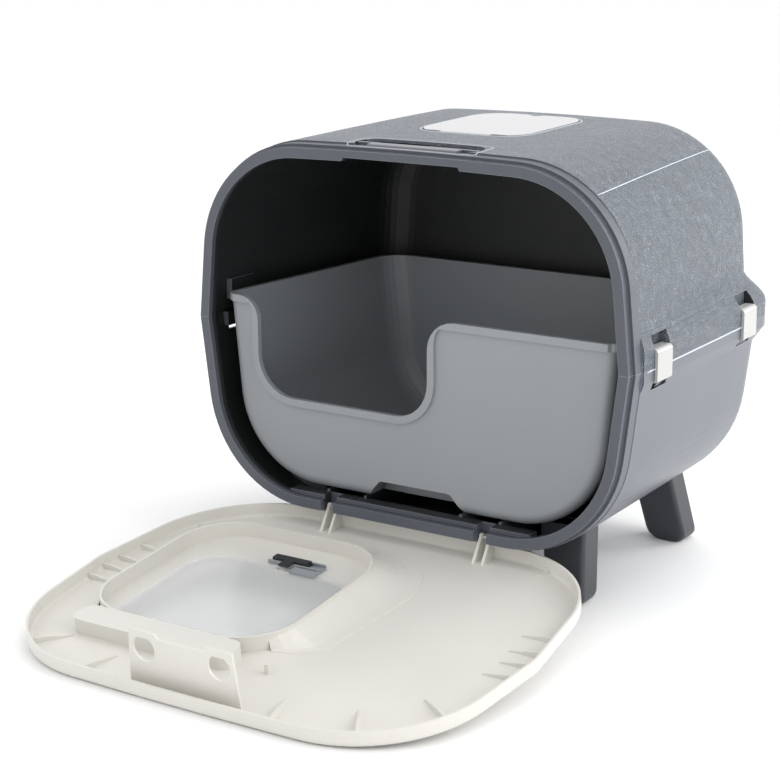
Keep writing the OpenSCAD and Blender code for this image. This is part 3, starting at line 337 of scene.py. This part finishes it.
def steel():
    finish = bpy.data.materials.new("pin_steel")
    finish.use_nodes = True
    tree = finish.node_tree
    body = tree.nodes["Principled BSDF"]
    body.inputs["Base Color"].default_value = (0.62, 0.62, 0.63, 1)
    body.inputs["Metallic"].default_value = 1.0
    spot = add(tree, "ShaderNodeTexCoord").outputs["Object"]
    drawn = add(tree, "ShaderNodeMapping", {"Vector": spot, "Scale": (40, 2500, 2500)}).outputs["Vector"]
    lines = add(tree, "ShaderNodeTexNoise", {"Vector": drawn, "Scale": 1.0, "Detail": 3.0}).outputs["Fac"]
    tree.links.new(maths(tree, "MULTIPLY_ADD", lines, 0.25, 0.2), body.inputs["Roughness"])
    return finish

def foam():
    finish = bpy.data.materials.new("charcoal_foam")
    finish.use_nodes = True
    tree = finish.node_tree
    body = tree.nodes["Principled BSDF"]
    spot = add(tree, "ShaderNodeTexCoord").outputs["Object"]
    holes = add(tree, "ShaderNodeTexVoronoi", {"Vector": spot, "Scale": 600.0}).outputs["Distance"]
    # Painted shade: the hole centres are darker than the foam around them
    shade = mixed(tree, holes, (0.004, 0.004, 0.004, 1), (0.03, 0.03, 0.032, 1))
    tree.links.new(shade, body.inputs["Base Color"])
    relief = add(tree, "ShaderNodeBump", {"Strength": 0.9, "Distance": 0.001, "Height": holes})
    tree.links.new(relief.outputs["Normal"], body.inputs["Normal"])
    body.inputs["Roughness"].default_value = 0.95
    return finish

finishes["clear_flap"] = clear_plastic()
finishes["steel"] = steel()
finishes["pad"] = foam()
print("finishes now:", len(finishes))

# %% [markdown]
# ## Dress the pieces
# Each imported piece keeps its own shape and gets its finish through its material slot, looked up in the
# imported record. The grip bar is the one exception: it is smooth and a little darker than the shell.

# %% Dress the pieces
slots = {part["node"]: part["material_slot"] for part in frame["record"]["subparts"]}
for name, piece in nodes.items():
    finish = finishes["grip"] if name == "carry_handle" else finishes[slots[name]]
    piece.data.materials.clear()
    piece.data.materials.append(finish)
print("dressed:", len(nodes), "pieces with", len(finishes), "finishes")

# %% [markdown]
# ## Beads and seams
# The moulding has thin polished lines: a seam along each roof corner, a bead on the parting line between the
# clips, and a rim round the handle recess and the roof cover. Each is a slim tube half sunk in its surface,
# coloured far paler than the shell as a painted highlight for the light these lines catch.
# Its path is found by looking along a straight line at the imported shell, so it lies on the real surface, and
# not beside it.

# %% Tube along a path
def tube(name, path, radius, body, closed=False):
    sides = 8
    points = [Vector(point) for point in path]
    count = len(points)
    verts, faces = [], []
    for i, point in enumerate(points):
        before = points[i - 1] if i or closed else point
        after = points[(i + 1) % count] if i < count - 1 or closed else point
        along = (after - before).normalized()
        across = along.cross(Vector((0, 0, 1)) if abs(along.z) < 0.9 else Vector((0, 1, 0))).normalized()
        other = along.cross(across)
        for j in range(sides):
            turn = 2 * math.pi * j / sides
            verts.append(point + radius * (math.cos(turn) * across + math.sin(turn) * other))
    spans = count if closed else count - 1
    for i in range(spans):
        for j in range(sides):
            a, b = i * sides, (i + 1) % count * sides
            k = (j + 1) % sides
            faces.append((a + j, b + j, b + k, a + k))
    if not closed:
        faces.append(tuple(range(sides)))
        faces.append(tuple((count - 1) * sides + j for j in reversed(range(sides))))
    mesh = bpy.data.meshes.new(name)
    mesh.from_pydata(verts, [], faces)
    mesh.shade_smooth()
    piece = bpy.data.objects.new(name, mesh)
    bpy.context.scene.collection.objects.link(piece)
    # The pale bead finish paints a highlight along the tube
    mesh.materials.append(finishes["bead"])
    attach(piece, body)
    return piece

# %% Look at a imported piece
def seen(node, start, direction):
    """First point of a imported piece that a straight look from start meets."""
    met, spot_met, _, _ = nodes[node].ray_cast(Vector(start), Vector(direction))
    return spot_met if met else None

# %% Roof seams and parting beads
lip_to_middle = 0.008269
above, beside, parting_height = 0.6, 0.4, 0.2648
down = (0, 0, -1)

def deep(y):
    """Depth in the frame of a place y behind the lip."""
    return y + lip_to_middle

beads = []
for side, word in ((1, "right"), (-1, "left")):
    looks = [(side * (0.212 - 0.018 * i / 24), deep(0.024 + 0.30 * i / 24), above) for i in range(25)]
    seam = [point for point in (seen("hood", look, down) for look in looks) if point]
    beads.append(tube("roof_seam_" + word, seam, 0.0007, "hood"))
    looks = [(side * beside, deep(0.03 + 0.27 * i / 30), parting_height) for i in range(31)]
    parting = [point for point in (seen("base", look, (-side, 0, 0)) for look in looks) if point]
    beads.append(tube("parting_bead_" + word, parting, 0.0009, "base"))
print("seams and beads:", [piece.name for piece in beads])

# %% Rims on the roof
roof_foot, sunk, step = 0.455, Vector((0, 0, 0.0005)), 0.005

def rim(name, half_x, near_y, far_y, corner, radius):
    """Closed tube on the roof along a rectangle with rounded corners."""
    half_y, mid = (far_y - near_y) / 2, (near_y + far_y) / 2
    flat = []
    for quarter, (side_x, side_y) in enumerate(((1, 1), (-1, 1), (-1, -1), (1, -1))):
        for i in range(7):
            turn = math.pi / 2 * (quarter + i / 6)
            flat.append((side_x * (half_x - corner) + corner * math.cos(turn),
                         mid + side_y * (half_y - corner) + corner * math.sin(turn)))
    path = []
    for i, (x, y) in enumerate(flat):
        next_x, next_y = flat[(i + 1) % len(flat)]
        parts = max(1, int(math.hypot(next_x - x, next_y - y) / step))
        for j in range(parts):
            look = (x + (next_x - x) * j / parts, deep(y + (next_y - y) * j / parts), above)
            point = seen("hood", look, down)
            if point and point.z > roof_foot:
                path.append(point - sunk)
    return tube(name, path, radius, "hood", closed=True)

rims = [
    rim("recess_rim", 0.0785, 0.0145, 0.0615, 0.012, 0.0008),
    rim("cover_rim", 0.0685, 0.1225, 0.2875, 0.0355, 0.0009),
]
print("rims:", [piece.name for piece in rims])
